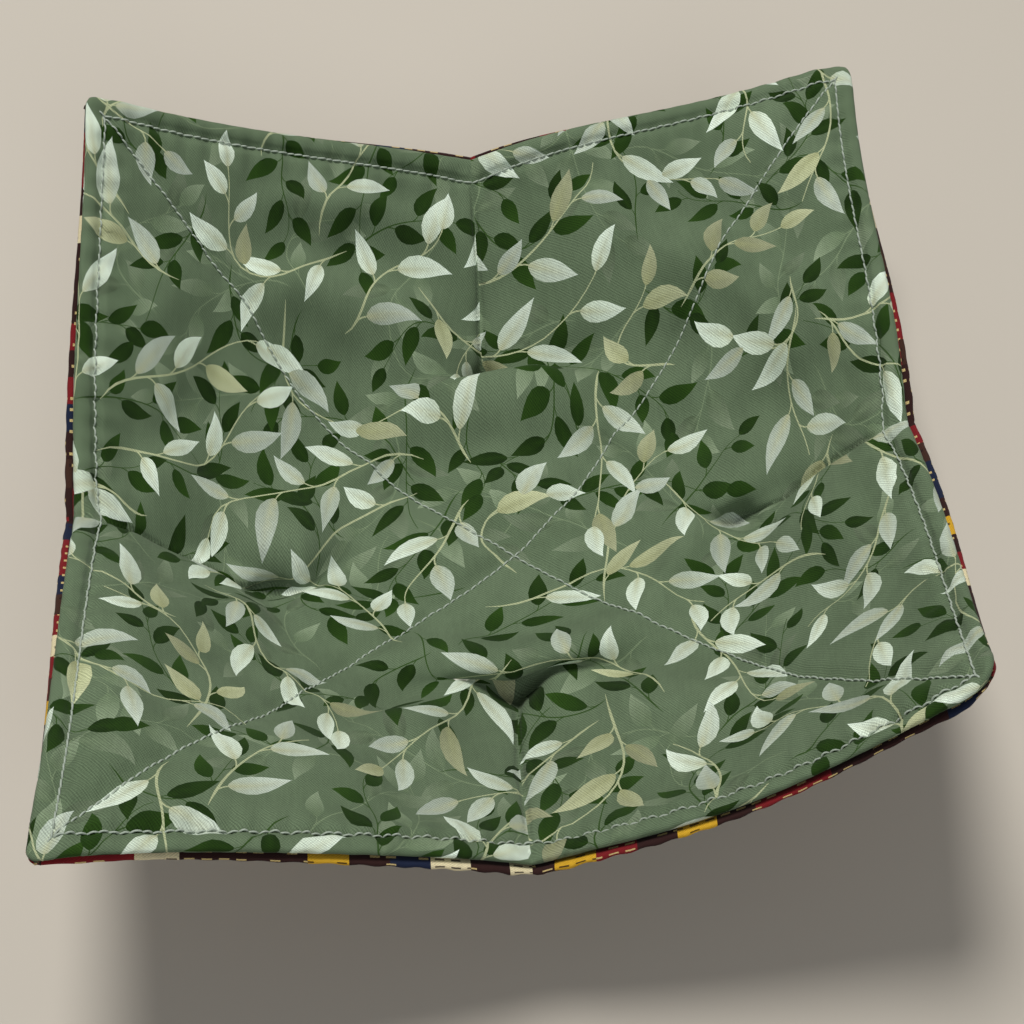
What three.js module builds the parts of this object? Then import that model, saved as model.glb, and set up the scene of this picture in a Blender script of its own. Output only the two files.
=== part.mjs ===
// A sewn bowl cozy: two square quilted panels, each shaped into a dish by four darts, joined at the edge.
// Every piece is laid out flat, as it is cut and stitched, and then bent into the dish by one function.
import * as THREE from 'three';

// Driving dimensions in millimetres
const SIDE = 240; // finished square, from seam to seam
const DART_DEPTH = 58; // from the edge towards the centre
const DART_HALF_WIDTH = 13; // half of what a dart takes out of the edge
const CREASE_RADIUS = 14; // outside of the fold between base and wall
const FABRIC = 0.5; // thickness of either printed cotton
const BATTING = 2; // thickness of either batting where no stitch holds it
const STITCHED_BATTING = 0.5; // what a line of stitches leaves of that
const EDGE_BATTING = 1.3; // batting in the soft roll along the edge
const STITCH_PULL = 6.5; // how far to each side a line of stitches draws the batting down
const LINING_CREASE_RADIUS = 42; // the lining is loose from the outer panel and bridges that fold in a wider one
const LINING_RISE = 2; // how far it puffs up in the middle of the base
const PUFF_RISE = 9; // of its highest puff
const SLIDE_WAY = 11; // of its farthest slide
const PIT_DEPTH = 1.6; // how far the tip of each dart draws it down
const PIT_REACH = 7;
const SETTLE_MARGIN = 16; // inside the topstitching, where the puffs and slides below fade out
const SEAM_ALLOWANCE = 6.35; // turned in at the edge
const TOPSTITCH_INSET = 6.6; // from the edge to the line of topstitching
const BATTING_SETBACK = 2.2; // from the edge to the batting
const BATTING_SLIT = 1.2; // width of the cut that each dart makes in the batting
const SEAM_INSET = 1.5; // from the edge to the seam that joins the panels
const CORNER_BLUNT = 1.2; // how far a turned corner stays short of its point
const CORNER_CLIP = 0.7; // share of the way to a corner's mitre at which the turned allowance is clipped
const THREAD = 0.4; // diameter
const CLEARANCE = 0.3; // between layers, and between a thread and the cloth

// How the wall bends between the ends of the darts and each corner's point, in degrees, outwards if negative,
// and how far it sags outwards between the darts, as a bowl's wall does
const CORNERS = [
  { x: -1, y: 1, curl: -32, sag: 15 },
  { x: 1, y: 1, curl: -70, sag: 18 },
  { x: 1, y: -1, curl: -31, sag: 18 },
  { x: -1, y: -1, curl: -54, sag: 10 },
];
// Soft puffs of the loose lining: place and reach as shares of half the side, rise as a share of the highest
const PUFFS = [
  { x: 0.04, y: 0.39, reachX: 0.23, reachY: 0.085, rise: 1 },
  { x: 0.02, y: -0.35, reachX: 0.23, reachY: 0.075, rise: 1 },
  { x: -0.16, y: 0.56, reachX: 0.09, reachY: 0.1, rise: 0.65 },
  { x: -0.35, y: 0.64, reachX: 0.25, reachY: 0.075, rise: 0.65 },
  { x: -0.32, y: 0.85, reachX: 0.22, reachY: 0.075, rise: 0.55 },
  { x: -0.78, y: 0.53, reachX: 0.13, reachY: 0.125, rise: 0.45 },
  { x: 0.3, y: 0.75, reachX: 0.13, reachY: 0.12, rise: 0.55 },
  { x: 0.53, y: 0.55, reachX: 0.15, reachY: 0.13, rise: 0.65 },
  { x: 0.78, y: 0.33, reachX: 0.15, reachY: 0.125, rise: 0.55 },
  { x: -0.48, y: 0.11, reachX: 0.115, reachY: 0.075, rise: 1 },
  { x: -0.73, y: 0.14, reachX: 0.13, reachY: 0.075, rise: 0.55 },
  { x: 0.53, y: 0.1, reachX: 0.115, reachY: 0.085, rise: 0.65 },
  { x: 0.375, y: -0.03, reachX: 0.075, reachY: 0.13, rise: 0.55 },
  { x: -0.375, y: -0.1, reachX: 0.075, reachY: 0.13, rise: 0.35 },
  { x: 0.28, y: -0.58, reachX: 0.15, reachY: 0.085, rise: 0.45 },
  { x: -0.3, y: -0.6, reachX: 0.15, reachY: 0.085, rise: 0.35 },
];
// Where the lining has slid on the outer panel: place and reach as shares of the way from the centre to a dart's tip,
// and the way slid as shares of the farthest
const SLIDES = [
  { x: 0, y: 0, reachX: 0.73, reachY: 0.52, alongX: 0.32, alongY: -0.45 },
  { x: -1, y: 0, reachX: 0.39, reachY: 0.29, alongX: -0.18, alongY: -0.82 },
  { x: 1, y: 0, reachX: 0.32, reachY: 0.26, alongX: 0.27, alongY: -0.36 },
  { x: 0, y: -1, reachX: 0.42, reachY: 0.29, alongX: 0.09, alongY: 1 },
];
const SIDE_LEAN = 0.064; // how far the right side lies back and the left side forward, per millimetre
const BASE_STRETCH = 0.12; // the soft base has spread to the sides and drawn in from back to front by this share

// Cells of the cloth's grid from the centre to a dart's tip, and from there to the topstitching
const BASE_CELLS = 6;
const WALL_CELLS = 4;

// Worked out from those
const half = SIDE / 2;
const tip = half - DART_DEPTH;
const topstitch = half - TOPSTITCH_INSET;
const wallAngle = Math.acos((DART_DEPTH - DART_HALF_WIDTH) / (DART_DEPTH + DART_HALF_WIDTH));
const creaseArc = CREASE_RADIUS * wallAngle;
const creaseAt = tip / Math.SQRT2;
const dartRun = (DART_DEPTH + DART_HALF_WIDTH) / Math.SQRT2;
const cornerRun = SIDE / Math.SQRT2 - creaseAt;
const dartRise = CREASE_RADIUS * (1 - Math.cos(wallAngle)) + (dartRun - creaseArc / 2) * Math.sin(wallAngle);
const dartTaper = (DART_DEPTH - DART_HALF_WIDTH) / (DART_DEPTH + DART_HALF_WIDTH);
const seamGap = THREAD + 2 * CLEARANCE;
const panelGap = seamGap + 2 * FABRIC + 2 * CLEARANCE;
const middle = panelGap / 2 + BATTING + CLEARANCE + FABRIC;
const threadLift = CLEARANCE + THREAD / 2;
const overThread = THREAD + CLEARANCE;

const lines = [];
for (let i = 0; i < BASE_CELLS; i++) lines.push((tip * i) / BASE_CELLS);
for (let i = 0; i <= WALL_CELLS; i++) lines.push(tip + ((topstitch - tip) * i) / WALL_CELLS);
lines.push(half - BATTING_SETBACK);
const last = lines.length - 1;

const clamp = THREE.MathUtils.clamp;

// The ways to the middles of the back, right, front and left sides
const DIRECTIONS = [[0, 1], [1, 0], [0, -1], [-1, 0]];

// Bends a place on the flat pattern, at a height above its underside, into the dish, with a crease of a given radius
function form(p, q, height, corner, radius) {
  const up = (p + q) / Math.SQRT2 - creaseAt;
  const sideways = (q - p) / Math.SQRT2;
  const fold = creaseArc / 2 + (radius - CREASE_RADIUS) * Math.tan(wallAngle / 2);
  const turned = ((clamp(up / fold, -1, 1) + 1) * wallAngle) / 2;
  const straight = clamp(up, fold, dartRun) - fold;
  const beyond = Math.max(up - dartRun, 0);
  const rate = THREE.MathUtils.degToRad(corner.curl || 1e-6) / (cornerRun - dartRun);
  const lean = turned + rate * beyond;
  const creaseEnd = creaseAt - creaseArc / 2 + CREASE_RADIUS * Math.sin(wallAngle);
  const atDartEnd = creaseEnd + (dartRun - creaseArc / 2) * Math.cos(wallAngle) - height * Math.sin(wallAngle);

  let out = creaseAt + Math.min(up, -fold) + radius * Math.sin(turned);
  let rise = radius * (1 - Math.cos(turned));
  out += straight * Math.cos(wallAngle) + (Math.sin(wallAngle + rate * beyond) - Math.sin(wallAngle)) / rate;
  rise += straight * Math.sin(wallAngle) - (Math.cos(wallAngle + rate * beyond) - Math.cos(wallAngle)) / rate;
  out -= height * Math.sin(lean);
  rise += height * Math.cos(lean);

  // Narrows the wall so that the two legs of each dart meet in one plane
  const halfWidth = creaseAt + (up < 0 ? up : Math.min(up, dartRun) * dartTaper);
  const widthAtDartEnd = creaseAt + dartRun * dartTaper;
  const across = up <= dartRun
    ? (sideways / Math.max(halfWidth, 1e-9)) * out
    : (sideways / widthAtDartEnd) * atDartEnd;
  const share = sideways / Math.max(halfWidth, 1e-9);
  const fromCrease = THREE.MathUtils.smoothstep(up, 0, creaseArc);
  const sag = corner.sag * (1 - share ** 2) * Math.sin(Math.PI * clamp(up / cornerRun, 0, 1)) * fromCrease;
  out += sag * Math.sin(lean);
  rise -= sag * Math.cos(lean);

  const stretch = BASE_STRETCH * (1 - clamp(rise / dartRise, 0, 1));
  const x = ((1 + stretch) * corner.x * (out - across)) / Math.SQRT2;
  const y = ((1 - stretch) * corner.y * (out + across)) / Math.SQRT2;
  return new THREE.Vector3(x, y + SIDE_LEAN * x, rise);
}

// How far a line of the grid slides sideways to follow the leg of a dart
function slide(along, across) {
  const intake = DART_HALF_WIDTH * clamp((along - tip) / DART_DEPTH, 0, 1);
  return intake * Math.max(0, 1 - across / topstitch);
}

function linedUp(x, y) {
  const a = Math.abs(x);
  const b = Math.abs(y);
  return { a: a + slide(b, a), b: b + slide(a, b) };
}

// Thickness of the batting, drawn down by the cross, the darts and the topstitching
function padding(x, y) {
  const a = Math.abs(x);
  const b = Math.abs(y);
  const fromEdge = half - Math.max(a, b);
  const fromCross = Math.abs(a - b) / Math.SQRT2;
  const fromDarts = Math.min(Math.hypot(a, Math.max(tip - b, 0)), Math.hypot(b, Math.max(tip - a, 0)));
  const fromTopstitch = Math.abs(fromEdge - TOPSTITCH_INSET);
  const intoRoll = clamp((TOPSTITCH_INSET - fromEdge) / (TOPSTITCH_INSET - BATTING_SETBACK), 0, 1);
  const full = fromEdge < TOPSTITCH_INSET
    ? STITCHED_BATTING + (EDGE_BATTING - STITCHED_BATTING) * intoRoll
    : BATTING;
  const nearest = fromEdge < TOPSTITCH_INSET
    ? Math.min(fromCross, fromDarts)
    : Math.min(fromCross, fromDarts, fromTopstitch);
  const pull = Math.max(0, 1 - nearest / STITCH_PULL);
  return full - (full - STITCHED_BATTING) * pull;
}

// The two panels mirror each other about the middle of the stack; the lining is the upper one
const LINING = { name: 'lining', side: 1, rise: LINING_RISE, creaseRadius: LINING_CREASE_RADIUS, settle: settled };
const OUTER = { name: 'outer', side: -1, rise: 0, creaseRadius: CREASE_RADIUS, settle: (x, y) => ({ x, y, lift: 0 }) };

// Where a place of the loose lining has slid to on the flat square, and how far it is lifted by puffs and pits
function settled(x, y) {
  const inside = THREE.MathUtils.smoothstep(topstitch - Math.max(Math.abs(x), Math.abs(y)), 0, SETTLE_MARGIN);
  const near = (spot, unit) => {
    const offX = (x - spot.x * unit) / (spot.reachX * unit);
    const offY = (y - spot.y * unit) / (spot.reachY * unit);
    return inside * Math.exp(-(offX ** 2) - offY ** 2);
  };
  const moved = { x, y, lift: 0 };
  for (const puff of PUFFS) moved.lift += PUFF_RISE * puff.rise * near(puff, half);
  for (const [ux, uy] of DIRECTIONS) {
    const fromTip = Math.hypot(x - ux * tip, y - uy * tip);
    moved.lift -= PIT_DEPTH * Math.exp(-((fromTip / PIT_REACH) ** 2));
  }
  for (const slid of SLIDES) {
    moved.x += SLIDE_WAY * slid.alongX * near(slid, tip);
    moved.y += SLIDE_WAY * slid.alongY * near(slid, tip);
  }
  return moved;
}

// A place in a panel: x and y on the flat square, and a height counted from the middle of the stack
function place(panel, x, y, height) {
  const spot = panel.settle(x, y);
  const corner = CORNERS.find((c) => c.x === (spot.x < 0 ? -1 : 1) && c.y === (spot.y < 0 ? -1 : 1));
  const flat = linedUp(spot.x, spot.y);
  const fromCentre = Math.min((flat.a + flat.b) / tip, 1);
  const pillow = panel.rise * (1 - fromCentre ** 2) ** 2;
  const point = form(flat.a, flat.b, middle + panel.side * height + pillow, corner, panel.creaseRadius);
  point.z += spot.lift;
  return point;
}

// Heights of the faces of a panel's layers, counted from the middle of the stack
const battingInside = () => panelGap / 2;
const battingOutside = (x, y) => panelGap / 2 + padding(x, y);
const fabricWrong = (x, y) => battingOutside(x, y) + CLEARANCE;
const fabricRight = (x, y) => fabricWrong(x, y) + FABRIC;

// Triangles of one piece, turned over at the end if they face inwards
class Facets {
  constructor() {
    this.corners = [];
  }

  triangle(a, b, c, sign) {
    this.corners.push(a, ...(sign > 0 ? [b, c] : [c, b]));
  }

  quad(a, b, c, d, sign) {
    this.triangle(a, b, c, sign);
    this.triangle(a, c, d, sign);
  }

  geometry() {
    let volume = 0;
    for (let i = 0; i < this.corners.length; i += 3) {
      const [a, b, c] = this.corners.slice(i, i + 3);
      volume += a.dot(b.clone().cross(c));
    }
    if (volume < 0) this.corners.reverse();
    const geometry = new THREE.BufferGeometry().setFromPoints(this.corners);
    geometry.computeVertexNormals();
    return geometry;
  }
}

// One face of a quarter of a panel; cells on the cross are split along it, the others along the crease
function addFace(facets, point, sign) {
  for (let i = 0; i < last; i++) {
    for (let j = 0; j < last; j++) {
      const [near, right, far, left] = [point(i, j), point(i + 1, j), point(i + 1, j + 1), point(i, j + 1)];
      if (i === j) facets.quad(near, right, far, left, sign);
      else facets.quad(right, far, left, near, sign);
    }
  }
}

// The grid's points along the edge of a quarter, from the dart on Y by the corner to the dart on X
function edgePoints() {
  const points = [];
  for (let i = 0; i <= last; i++) points.push({ i, j: last });
  for (let j = last - 1; j >= 0; j--) points.push({ i: last, j });
  return points;
}

// Where a point of the grid lies, with its last lines at a given distance from the edge
function gridPoint(i, j, inset = BATTING_SETBACK) {
  const atCorner = i === last && j === last;
  const reached = half - inset - (atCorner ? CORNER_BLUNT : 0);
  return { a: i === last ? reached : lines[i], b: j === last ? reached : lines[j] };
}

// A printed cotton with its edge turned under and its allowance lying inside along the middle;
// the cells of the turned edge are split the same way as the grid's, so that the layers stay parallel
function fabricGeometry(panel) {
  const facets = new Facets();
  for (const corner of CORNERS) {
    const sign = panel.side * corner.x * corner.y;
    const face = (height) => (i, j) => {
      const { a, b } = gridPoint(i, j);
      return place(panel, corner.x * a, corner.y * b, height(a, b));
    };
    const right = face(fabricRight);
    const wrong = face(fabricWrong);
    addFace(facets, right, sign);
    addFace(facets, wrong, -sign);

    const turnedEdge = edgePoints().map(({ i, j }) => {
      const start = gridPoint(i, j);
      const radius = (fabricRight(start.a, start.b) - seamGap / 2) / 2;
      const toCorner = half - Math.min(start.a, start.b);
      const clipped = Math.max(Math.min(SEAM_ALLOWANCE, CORNER_CLIP * toCorner), radius + FABRIC);
      const moved = (inset, height) => {
        const { a, b } = gridPoint(i, j, inset);
        return place(panel, corner.x * a, corner.y * b, height);
      };
      return [
        right(i, j),
        moved(0, seamGap / 2 + radius),
        moved(radius, seamGap / 2),
        moved(clipped, seamGap / 2),
        moved(clipped, seamGap / 2 + FABRIC),
        moved(radius, seamGap / 2 + FABRIC),
        moved(FABRIC, seamGap / 2 + radius),
        wrong(i, j),
      ];
    });
    for (let k = 0; k + 1 < turnedEdge.length; k++) {
      const [here, next] = [turnedEdge[k], turnedEdge[k + 1]];
      for (let m = 0; m + 1 < here.length; m++) {
        const inwards = m === 1 || m === 2;
        const beforeCorner = k < last;
        if (inwards === beforeCorner) facets.quad(here[m], next[m], next[m + 1], here[m + 1], sign);
        else facets.quad(next[m], next[m + 1], here[m + 1], here[m], sign);
      }
    }
  }
  return facets.geometry();
}

// A batting, cut short of the edge and slit along each dart
function battingGeometry(panel) {
  const facets = new Facets();
  for (const corner of CORNERS) {
    const sign = panel.side * corner.x * corner.y;
    const face = (height) => (i, j) => {
      const { a, b } = gridPoint(i, j);
      const slitX = i === 0 && j >= BASE_CELLS ? BATTING_SLIT / 2 : 0;
      const slitY = j === 0 && i >= BASE_CELLS ? BATTING_SLIT / 2 : 0;
      return place(panel, corner.x * (a + slitX), corner.y * (b + slitY), height(a, b));
    };
    const outside = face(battingOutside);
    const inside = face(battingInside);
    addFace(facets, outside, sign);
    addFace(facets, inside, -sign);
    const wall = (from, to) => facets.quad(outside(...from), outside(...to), inside(...to), inside(...from), sign);
    const edge = edgePoints();
    for (let k = 0; k + 1 < edge.length; k++) wall([edge[k].i, edge[k].j], [edge[k + 1].i, edge[k + 1].j]);
    for (let j = BASE_CELLS - 1; j < last; j++) {
      wall([0, j], [0, j + 1]);
      wall([j + 1, 0], [j, 0]);
    }
  }
  return facets.geometry();
}

// A thread through stations on the flat square, each with its sideways direction and its height
function threadGeometry(panel, stations, closed) {
  const facets = new Facets();
  const rings = stations.map(({ x, y, acrossX, acrossY, height }) => {
    const ring = [];
    for (let k = 0; k < 4; k++) {
      const aside = (THREAD / 2) * Math.cos((k * Math.PI) / 2);
      const lift = (THREAD / 2) * Math.sin((k * Math.PI) / 2);
      ring.push(place(panel, x + acrossX * aside, y + acrossY * aside, height + lift));
    }
    return ring;
  });
  const spans = closed ? rings.length : rings.length - 1;
  for (let s = 0; s < spans; s++) {
    const [here, next] = [rings[s], rings[(s + 1) % rings.length]];
    for (let k = 0; k < 4; k++) {
      const l = (k + 1) % 4;
      facets.quad(here[k], here[l], next[l], next[k], 1);
    }
  }
  if (!closed) {
    const [first, end] = [rings[0], rings[rings.length - 1]];
    facets.quad(first[3], first[2], first[1], first[0], 1);
    facets.quad(end[0], end[1], end[2], end[3], 1);
  }
  return facets.geometry();
}

// A line of the stitched cross: the second line is sewn over the first and is lifted where they meet
function crossStations(slope, height, lift) {
  const marks = lines.filter((line) => line > 0 && line <= topstitch);
  const along = [...marks.map((mark) => -mark).reverse(), 0, ...marks];
  return along.map((x) => ({
    x,
    y: slope * x,
    acrossX: Math.SQRT1_2,
    acrossY: -slope * Math.SQRT1_2,
    height: height(x, x) + (x === 0 ? lift : 0),
  }));
}

// A dart's seam, on the wrong side of the fabric and in the slit of the batting
function dartStations(turns) {
  const marks = lines.filter((line) => line >= tip && line <= topstitch);
  const [ux, uy] = DIRECTIONS[turns];
  return marks.map((mark) => ({
    x: ux * mark,
    y: uy * mark,
    acrossX: Math.abs(uy),
    acrossY: Math.abs(ux),
    height: fabricWrong(0, mark) - threadLift,
  }));
}

// A closed line round the square at an inset from its edge, lifted at the corners over what ends there
function roundStations(inset, height, cornerLift) {
  const reach = half - inset;
  const marks = lines.filter((line) => line > 0 && line < reach - THREAD);
  const along = [...marks.map((mark) => -mark).reverse(), 0, ...marks];
  const stations = [];
  for (const [ux, uy] of DIRECTIONS) {
    const [vx, vy] = [uy, -ux];
    const level = (mark) => height(Math.abs(mark), reach);
    for (const mark of along) {
      stations.push({
        x: ux * reach + vx * mark,
        y: uy * reach + vy * mark,
        acrossX: ux,
        acrossY: uy,
        height: level(mark),
      });
    }
    stations.push({
      x: (ux + vx) * reach,
      y: (uy + vy) * reach,
      acrossX: ux + vx,
      acrossY: uy + vy,
      height: level(reach) + cornerLift,
    });
  }
  return stations;
}

// Materials
const cloth = (color, roughness) => new THREE.MeshStandardMaterial({ color, roughness, metalness: 0 });
const liningCotton = cloth(0x6b8063, 0.9);
const outerCotton = cloth(0x4b2b26, 0.9);
const cottonBatting = cloth(0xece7d8, 1);
const sewingThread = cloth(0xccd3c6, 0.7);

const cozy = new THREE.Group();
cozy.name = 'bowl_cozy';

function addPiece(name, geometry, material) {
  const mesh = new THREE.Mesh(geometry, material);
  mesh.name = name;
  cozy.add(mesh);
}

const DART_SIDES = ['back', 'right', 'front', 'left'];
for (const panel of [OUTER, LINING]) {
  addPiece(`${panel.name}_fabric`, fabricGeometry(panel), panel === LINING ? liningCotton : outerCotton);
  addPiece(`${panel.name}_batting`, battingGeometry(panel), cottonBatting);

  const faceThread = (x, y) => fabricRight(x, y) + threadLift;
  const backThread = () => battingInside() - threadLift;
  [1, -1].forEach((slope, k) => {
    const lift = k * overThread;
    const needle = crossStations(slope, faceThread, lift);
    const bobbin = crossStations(slope, backThread, -lift);
    addPiece(`${panel.name}_cross_needle_thread_${k + 1}`, threadGeometry(panel, needle, false), sewingThread);
    addPiece(`${panel.name}_cross_bobbin_thread_${k + 1}`, threadGeometry(panel, bobbin, false), sewingThread);
  });
  DART_SIDES.forEach((side, turns) => {
    addPiece(`${panel.name}_dart_thread_${side}`, threadGeometry(panel, dartStations(turns), false), sewingThread);
  });

  const topstitchPart = panel === LINING ? 'needle' : 'bobbin';
  const topstitching = roundStations(TOPSTITCH_INSET, faceThread, overThread);
  addPiece(`topstitch_${topstitchPart}_thread`, threadGeometry(panel, topstitching, true), sewingThread);
}
addPiece('edge_seam_thread', threadGeometry(OUTER, roundStations(SEAM_INSET, () => 0, 0), true), sewingThread);

// The origin is under the middle of the part's box, on the surface that it stands on
const box = new THREE.Box3().setFromObject(cozy);
const centre = box.getCenter(new THREE.Vector3());
cozy.position.set(-centre.x, -centre.y, 0);

export default cozy;
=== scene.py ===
"""A sewn bowl cozy: two darted, quilted squares of printed cotton, joined at the edge, on a pale floor.

The outer panel follows the dish that the solids have. The lining is a sheet of its own, held at the edge,
and a cloth simulation lets it settle into the dish, where it is a little too large and puckers.
Its print is cut into its mesh, and each stitch that shows is a shape of its own.
Lengths are in millimetres until a mesh is made.
"""

import math

import bpy
import numpy as np
from mathutils import Matrix, Vector
from mathutils.bvhtree import BVHTree
from mathutils.geometry import delaunay_2d_cdt


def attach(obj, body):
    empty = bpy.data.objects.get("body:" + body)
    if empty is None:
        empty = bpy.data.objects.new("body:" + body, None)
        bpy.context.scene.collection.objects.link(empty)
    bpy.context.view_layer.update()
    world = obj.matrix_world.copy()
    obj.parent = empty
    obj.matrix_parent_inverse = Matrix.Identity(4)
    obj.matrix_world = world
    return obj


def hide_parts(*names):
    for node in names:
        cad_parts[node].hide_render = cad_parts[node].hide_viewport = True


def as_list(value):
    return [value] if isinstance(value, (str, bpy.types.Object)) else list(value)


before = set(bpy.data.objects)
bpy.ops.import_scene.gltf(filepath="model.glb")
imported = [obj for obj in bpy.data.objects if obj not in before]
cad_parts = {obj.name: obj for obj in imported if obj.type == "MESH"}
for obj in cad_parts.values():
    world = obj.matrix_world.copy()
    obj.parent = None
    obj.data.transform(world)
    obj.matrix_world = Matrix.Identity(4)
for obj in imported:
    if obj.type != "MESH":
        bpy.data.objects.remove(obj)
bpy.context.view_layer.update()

MM = 0.001
TINY = 1e-9

# Sizes of the cozy, as in the solids
HALF = 120.0
DART_DEPTH = 58.0
DART_HALF_WIDTH = 13.0
CREASE_RADIUS = 14.0
LINING_CREASE_RADIUS = 42.0
CURLS = {(-1, 1): -32.0, (1, 1): -70.0, (1, -1): -31.0, (-1, -1): -54.0}
SAGS = {(-1, 1): 15.0, (1, 1): 18.0, (1, -1): 18.0, (-1, -1): 10.0}
ROUNDS = {(-1, 1): 3.0, (1, 1): 5.0, (1, -1): 11.0, (-1, -1): 3.0}
SIDE_LEAN = 0.064
BASE_STRETCH = 0.12
LINING_RISE = 2.0
SEAM_ALLOWANCE = 6.35
TOPSTITCH_INSET = 6.6
CROSS_AT = (-0.194, -1.007)
PANEL_HALF = 4.1

# Sizes of the square as it was cut, of the cotton and of the stitches, as they show here
FABRIC = 0.4
THREAD = 0.46
STITCH = 2.25
STITCH_INSET = 5.0
CROSS_END = 116.0

# Worked out from those
TIP = HALF - DART_DEPTH
TOPSTITCH = HALF - TOPSTITCH_INSET
WALL = math.acos((DART_DEPTH - DART_HALF_WIDTH) / (DART_DEPTH + DART_HALF_WIDTH))
ARC = CREASE_RADIUS * WALL
CREASE_AT = TIP / math.sqrt(2)
DART_RUN = (DART_DEPTH + DART_HALF_WIDTH) / math.sqrt(2)
CORNER_RUN = math.sqrt(2) * HALF - CREASE_AT
TAPER = (DART_DEPTH - DART_HALF_WIDTH) / (DART_DEPTH + DART_HALF_WIDTH)
DART_RISE = CREASE_RADIUS * (1 - math.cos(WALL)) + (DART_RUN - ARC / 2) * math.sin(WALL)

# Soft puffs of the loose lining: place and reach as shares of half the side, rise as a share of the highest
PUFF_RISE = 9.0
PUFFS = (
    (0.04, 0.39, 0.23, 0.085, 1),
    (0.02, -0.35, 0.23, 0.075, 1),
    (-0.16, 0.56, 0.09, 0.1, 0.65),
    (-0.35, 0.64, 0.25, 0.075, 0.65),
    (-0.32, 0.85, 0.22, 0.075, 0.55),
    (-0.78, 0.53, 0.13, 0.125, 0.45),
    (0.3, 0.75, 0.13, 0.12, 0.55),
    (0.53, 0.55, 0.15, 0.13, 0.65),
    (0.78, 0.33, 0.15, 0.125, 0.55),
    (-0.48, 0.11, 0.115, 0.075, 1),
    (-0.73, 0.14, 0.13, 0.075, 0.55),
    (0.53, 0.1, 0.115, 0.085, 0.65),
    (0.375, -0.03, 0.075, 0.13, 0.55),
    (-0.375, -0.1, 0.075, 0.13, 0.35),
    (0.28, -0.58, 0.15, 0.085, 0.45),
    (-0.3, -0.6, 0.15, 0.085, 0.35),
)
# Where it has slid: place and reach as shares of the way to a dart's tip,
# and the way slid along x and y as shares of the farthest
SLIDE_WAY = 11.0
SLIDES = (
    (0, 0, 0.73, 0.52, 0.32, -0.45),
    (-1, 0, 0.39, 0.29, -0.18, -0.82),
    (1, 0, 0.32, 0.26, 0.27, -0.36),
    (0, -1, 0.42, 0.29, 0.09, 1),
)
PIT_DEPTH = 1.6
PIT_REACH = 7.0
SETTLE_MARGIN = 16.0


# The dish

def slide(along, across):
    """How far a line of the grid slides sideways to follow a dart's leg."""
    intake = DART_HALF_WIDTH * np.clip((along - TIP) / DART_DEPTH, 0, 1)
    return intake * np.clip(1 - across / TOPSTITCH, 0, None)


def of_corner(values, x, y):
    """Takes each place's value from its quarter of the square."""
    back = np.where(x >= 0, values[(1, 1)], values[(-1, 1)])
    front = np.where(x >= 0, values[(1, -1)], values[(-1, -1)])
    return np.where(y >= 0, back, front)


def rounded(a, b, radius):
    """Rounds the corners of the square off."""
    start = HALF - radius
    u = np.clip((a - start) / radius, 0, None)
    v = np.clip((b - start) / radius, 0, None)
    near_u = np.sqrt(1 - np.minimum(v, 1) ** 2 / 2)
    near_v = np.sqrt(1 - np.minimum(u, 1) ** 2 / 2)
    return np.where(u > 0, start + radius * u * near_u, a), np.where(v > 0, start + radius * v * near_v, b)


def form(x, y, height, radius):
    """Bends places on the flat square, at a height above its underside, into the dish."""
    a, b = rounded(np.abs(x), np.abs(y), of_corner(ROUNDS, x, y))
    p = a + slide(b, a)
    q = b + slide(a, b)
    up = (p + q) / math.sqrt(2) - CREASE_AT
    sideways = (q - p) / math.sqrt(2)
    fold = ARC / 2 + (radius - CREASE_RADIUS) * math.tan(WALL / 2)
    turned = (np.clip(up / fold, -1, 1) + 1) * WALL / 2
    straight = np.clip(up, fold, DART_RUN) - fold
    beyond = np.clip(up - DART_RUN, 0, None)
    rate = np.radians(of_corner(CURLS, x, y)) / (CORNER_RUN - DART_RUN)
    lean = turned + rate * beyond

    out = CREASE_AT + np.minimum(up, -fold) + radius * np.sin(turned)
    rise = radius * (1 - np.cos(turned))
    out = out + straight * math.cos(WALL) + (np.sin(WALL + rate * beyond) - math.sin(WALL)) / rate
    rise = rise + straight * math.sin(WALL) - (np.cos(WALL + rate * beyond) - math.cos(WALL)) / rate
    out = out - height * np.sin(lean)
    rise = rise + height * np.cos(lean)

    # Narrows the wall so that the two legs of each dart meet
    half_width = np.maximum(CREASE_AT + np.where(up < 0, up, np.minimum(up, DART_RUN) * TAPER), TINY)
    crease_end = CREASE_AT - ARC / 2 + CREASE_RADIUS * math.sin(WALL)
    at_dart_end = crease_end + (DART_RUN - ARC / 2) * math.cos(WALL) - height * math.sin(WALL)
    across = sideways / half_width * np.where(up <= DART_RUN, out, at_dart_end)

    # Sags the wall outwards between the darts
    share = sideways / half_width
    start = np.clip(up / ARC, 0, 1)
    hollow = np.sin(math.pi * np.clip(up / CORNER_RUN, 0, 1)) * start**2 * (3 - 2 * start)
    sag = of_corner(SAGS, x, y) * (1 - share**2) * hollow
    out = out + sag * np.sin(lean)
    rise = rise - sag * np.cos(lean)

    stretch = BASE_STRETCH * (1 - np.clip(rise / DART_RISE, 0, 1))
    px = (1 + stretch) * np.where(x < 0, -1, 1) * (out - across) / math.sqrt(2)
    py = (1 - stretch) * np.where(y < 0, -1, 1) * (out + across) / math.sqrt(2)
    return np.stack([px + CROSS_AT[0], py + SIDE_LEAN * px + CROSS_AT[1], rise], -1)


LINING, OUTER = 1.0, -1.0


def bell(distance, width):
    """1 at no distance, falling off over a width."""
    return np.exp(-((distance / width) ** 2))


def eased(share):
    """A share from 0 to 1 with a soft start and end."""
    return share**2 * (3 - 2 * share)


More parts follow.
